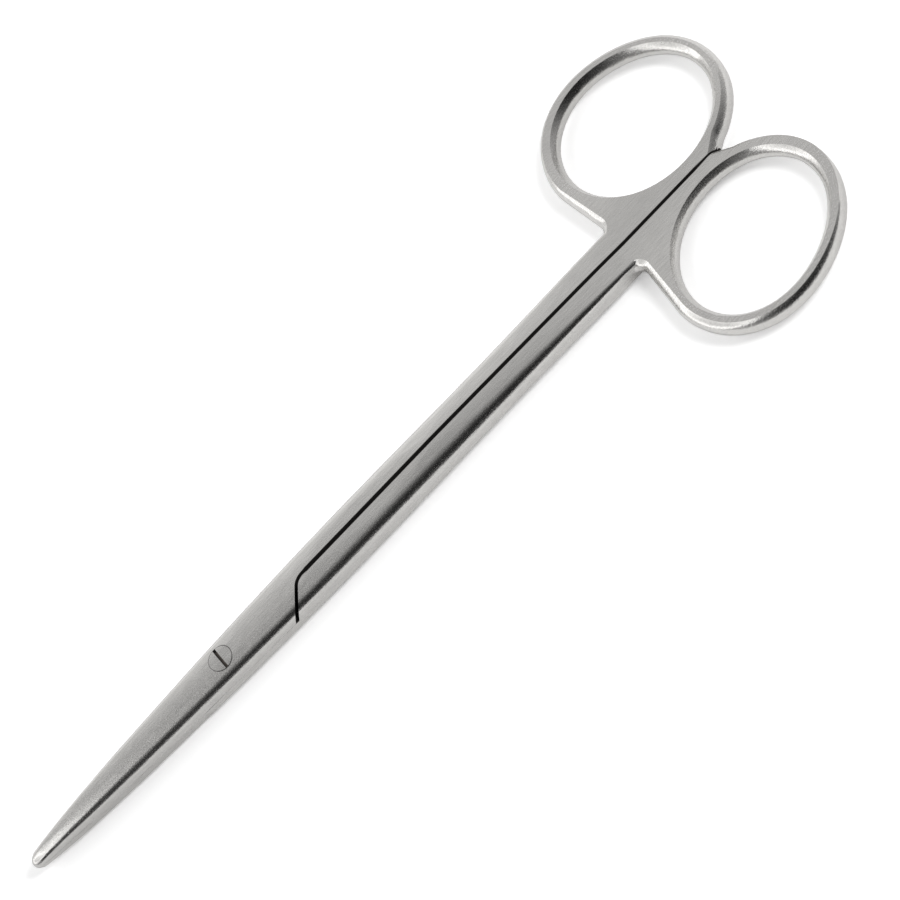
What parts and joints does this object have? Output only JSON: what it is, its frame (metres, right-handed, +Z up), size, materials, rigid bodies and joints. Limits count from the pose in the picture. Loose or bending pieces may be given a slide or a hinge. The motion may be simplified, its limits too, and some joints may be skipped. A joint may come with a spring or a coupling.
{
  "type": "dissecting scissors",
  "caption": "Straight blunt-tipped dissecting scissors with long shanks, oval finger rings, a lapped joint and a slotted countersunk screw; the front half turns on the screw to open.",
  "frame": {"origin": "under the middle of the whole tool: middle of its length and width, at the height of the face it lies on", "axes": "+X from the blade tips to the finger rings, +Y towards the front half's finger ring, +Z up along the joint screw, towards its slotted head"},
  "size_m": [0.145, 0.0534, 0.0046],
  "materials": {
    "satin_steel": "satin",
    "screw_steel": "ground"
  },
  "bodies": {
    "back": {"back_half": "satin_steel", "joint_screw": "screw_steel"},
    "front": {"front_half": "satin_steel"}
  },
  "joints": [
    {"name": "screw_pivot", "type": "hinge", "parent": "back", "child": "front", "pos_m": [-0.0336, 0, 0.00229], "axis": [0, 0, 1], "range_deg": [0, 60]}
  ]
}
